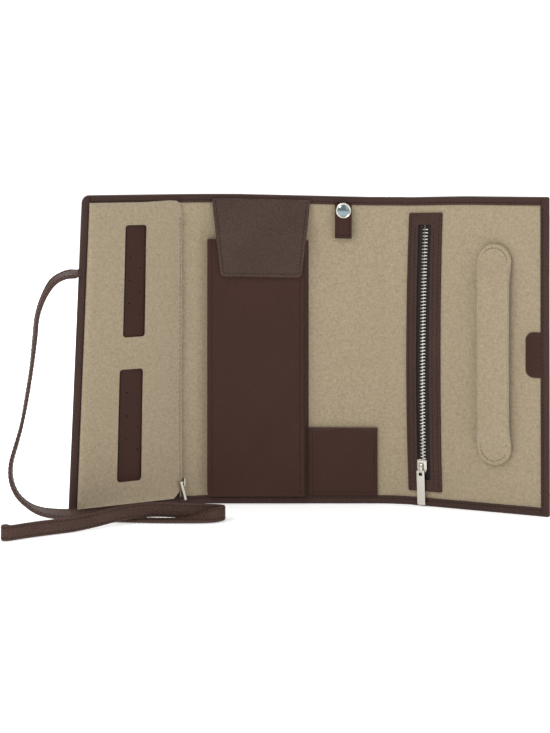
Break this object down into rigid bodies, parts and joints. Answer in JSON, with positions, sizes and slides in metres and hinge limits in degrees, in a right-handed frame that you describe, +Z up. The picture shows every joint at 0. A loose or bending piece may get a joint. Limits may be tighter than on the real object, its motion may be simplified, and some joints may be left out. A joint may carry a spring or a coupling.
{
  "type": "travel jewellery roll",
  "caption": "Leather travel jewellery roll, suede lined, standing open on its long edge, with pockets, zips, a ring bar, an earring page and a tie strap.",
  "frame": {"origin": "bottom centre of the bounding box of the open case, without its strap", "axes": "+Z up along the folds, +X to the right across the width, -Y towards the lined inside"},
  "size_m": [0.3375, 0.1234, 0.2],
  "materials": {
    "leather": "smooth aniline brown leather with a low sheen",
    "grained_leather": "pebble-grained brown leather",
    "strap_leather": "edge-stitched brown leather strap",
    "suede": "brushed taupe microsuede",
    "board": "grey stiffening board",
    "nickel": "polished nickel plating",
    "zip_tape": "dark woven zip tape"
  },
  "bodies": {
    "centre": {"centre_shell": "leather", "centre_board": "board", "centre_lining": "suede", "pocket_front": "leather", "pocket_gusset": "leather", "pocket_magnet": "nickel", "patch_pocket": "leather", "snap_tab_back": "leather", "snap_stud": "nickel"},
    "left_spine": {"left_spine_shell": "leather", "left_spine_board": "board", "left_spine_lining": "suede"},
    "left_flap": {"left_flap_shell": "leather", "left_flap_board": "board", "left_flap_lining": "suede", "earring_page": "suede", "earring_strip_lower": "leather", "earring_strip_upper": "leather", "page_zip_tape": "zip_tape", "page_zip_coil": "zip_tape", "strap_anchor": "strap_leather"},
    "right_spine": {"right_spine_shell": "leather", "right_spine_board": "board", "right_spine_lining": "suede"},
    "right_flap": {"right_flap_shell": "leather", "right_flap_board": "board", "right_flap_lining": "suede", "zip_frame": "leather", "zip_tape": "zip_tape", "zip_teeth_left": "nickel", "zip_teeth_right": "nickel", "zip_stops": "nickel", "zip_pocket_bag": "suede", "ring_bar_anchor": "suede", "ring_bar_stud": "nickel", "label_tab": "leather"},
    "pocket_flap": {"pocket_flap": "grained_leather", "pocket_flap_backing": "suede", "flap_magnet": "nickel"},
    "snap_tab": {"snap_tab_front": "leather", "snap_socket": "nickel", "snap_cap": "nickel"},
    "page_slider": {"page_zip_slider": "nickel"},
    "page_puller": {"page_zip_puller": "nickel"},
    "zip_slider": {"zip_slider": "nickel"},
    "zip_puller": {"zip_puller": "nickel"},
    "ring_bar": {"ring_bar": "suede", "ring_bar_socket": "nickel"},
    "strap": {"strap": "strap_leather"}
  },
  "joints": [
    {"name": "left_fold", "type": "hinge", "parent": "centre", "child": "left_spine", "pos_m": [-0.06797, 0.02207, 0], "axis": [0, 0, 1], "range_deg": [-17, 64], "deforming": ["strap"]},
    {"name": "left_flap_fold", "type": "hinge", "parent": "left_spine", "child": "left_flap", "pos_m": [-0.08327, 0.01739, 0], "axis": [0, 0, 1], "range_deg": [-17, 64]},
    {"name": "right_fold", "type": "hinge", "parent": "centre", "child": "right_spine", "pos_m": [0.04903, 0.02207, 0], "axis": [0, 0, -1], "range_deg": [-13.25, 54]},
    {"name": "right_flap_fold", "type": "hinge", "parent": "right_spine", "child": "right_flap", "pos_m": [0.06071, 0.01932, 0], "axis": [0, 0, -1], "range_deg": [-13.25, 54]},
    {"name": "pocket_flap_fold", "type": "hinge", "parent": "centre", "child": "pocket_flap", "pos_m": [-0.03337, 0.02117, 0.1936], "axis": [1, 0, 0], "range_deg": [-125, 0]},
    {"name": "snap_tab_fold", "type": "hinge", "parent": "centre", "child": "snap_tab", "pos_m": [0.02043, 0.01887, 0.1736], "axis": [-1, 0, 0], "range_deg": [-160, 0]},
    {"name": "page_zip_slide", "type": "slide", "parent": "left_flap", "child": "page_slider", "axis": [0, 0, 1], "range_m": [0, 0.17]},
    {"name": "page_puller_swing", "type": "hinge", "parent": "page_slider", "child": "page_puller", "pos_m": [-0.08447, 0.01236, 0.0154], "axis": [0.829, 0.5592, 0], "range_deg": [-92, 0]},
    {"name": "zip_slide", "type": "slide", "parent": "right_flap", "child": "zip_slider", "axis": [0, 0, 1], "range_m": [0, 0.148]},
    {"name": "zip_puller_swing", "type": "hinge", "parent": "zip_slider", "child": "zip_puller", "pos_m": [0.06995, 0.01231, 0.02155], "axis": [0.8949, -0.4462, 0], "range_deg": [-120, 0]},
    {"name": "ring_bar_fold", "type": "hinge", "parent": "right_flap", "child": "ring_bar", "pos_m": [0.11432, -0.01099, 0.1565], "axis": [0.8949, -0.4462, 0], "range_deg": [-110, 0]},
    {"name": "strap_swing", "type": "hinge", "parent": "left_flap", "child": "strap", "pos_m": [-0.14812, -0.02418, 0], "axis": [0, 0, 1], "range_deg": [-124, 34]}
  ],
  "couplings": [
    {"joint": "left_flap_fold", "follows": "left_fold", "ratio": 1},
    {"joint": "right_flap_fold", "follows": "right_fold", "ratio": 1},
    {"joint": "strap_swing", "follows": "left_fold", "ratio": -1.9}
  ]
}
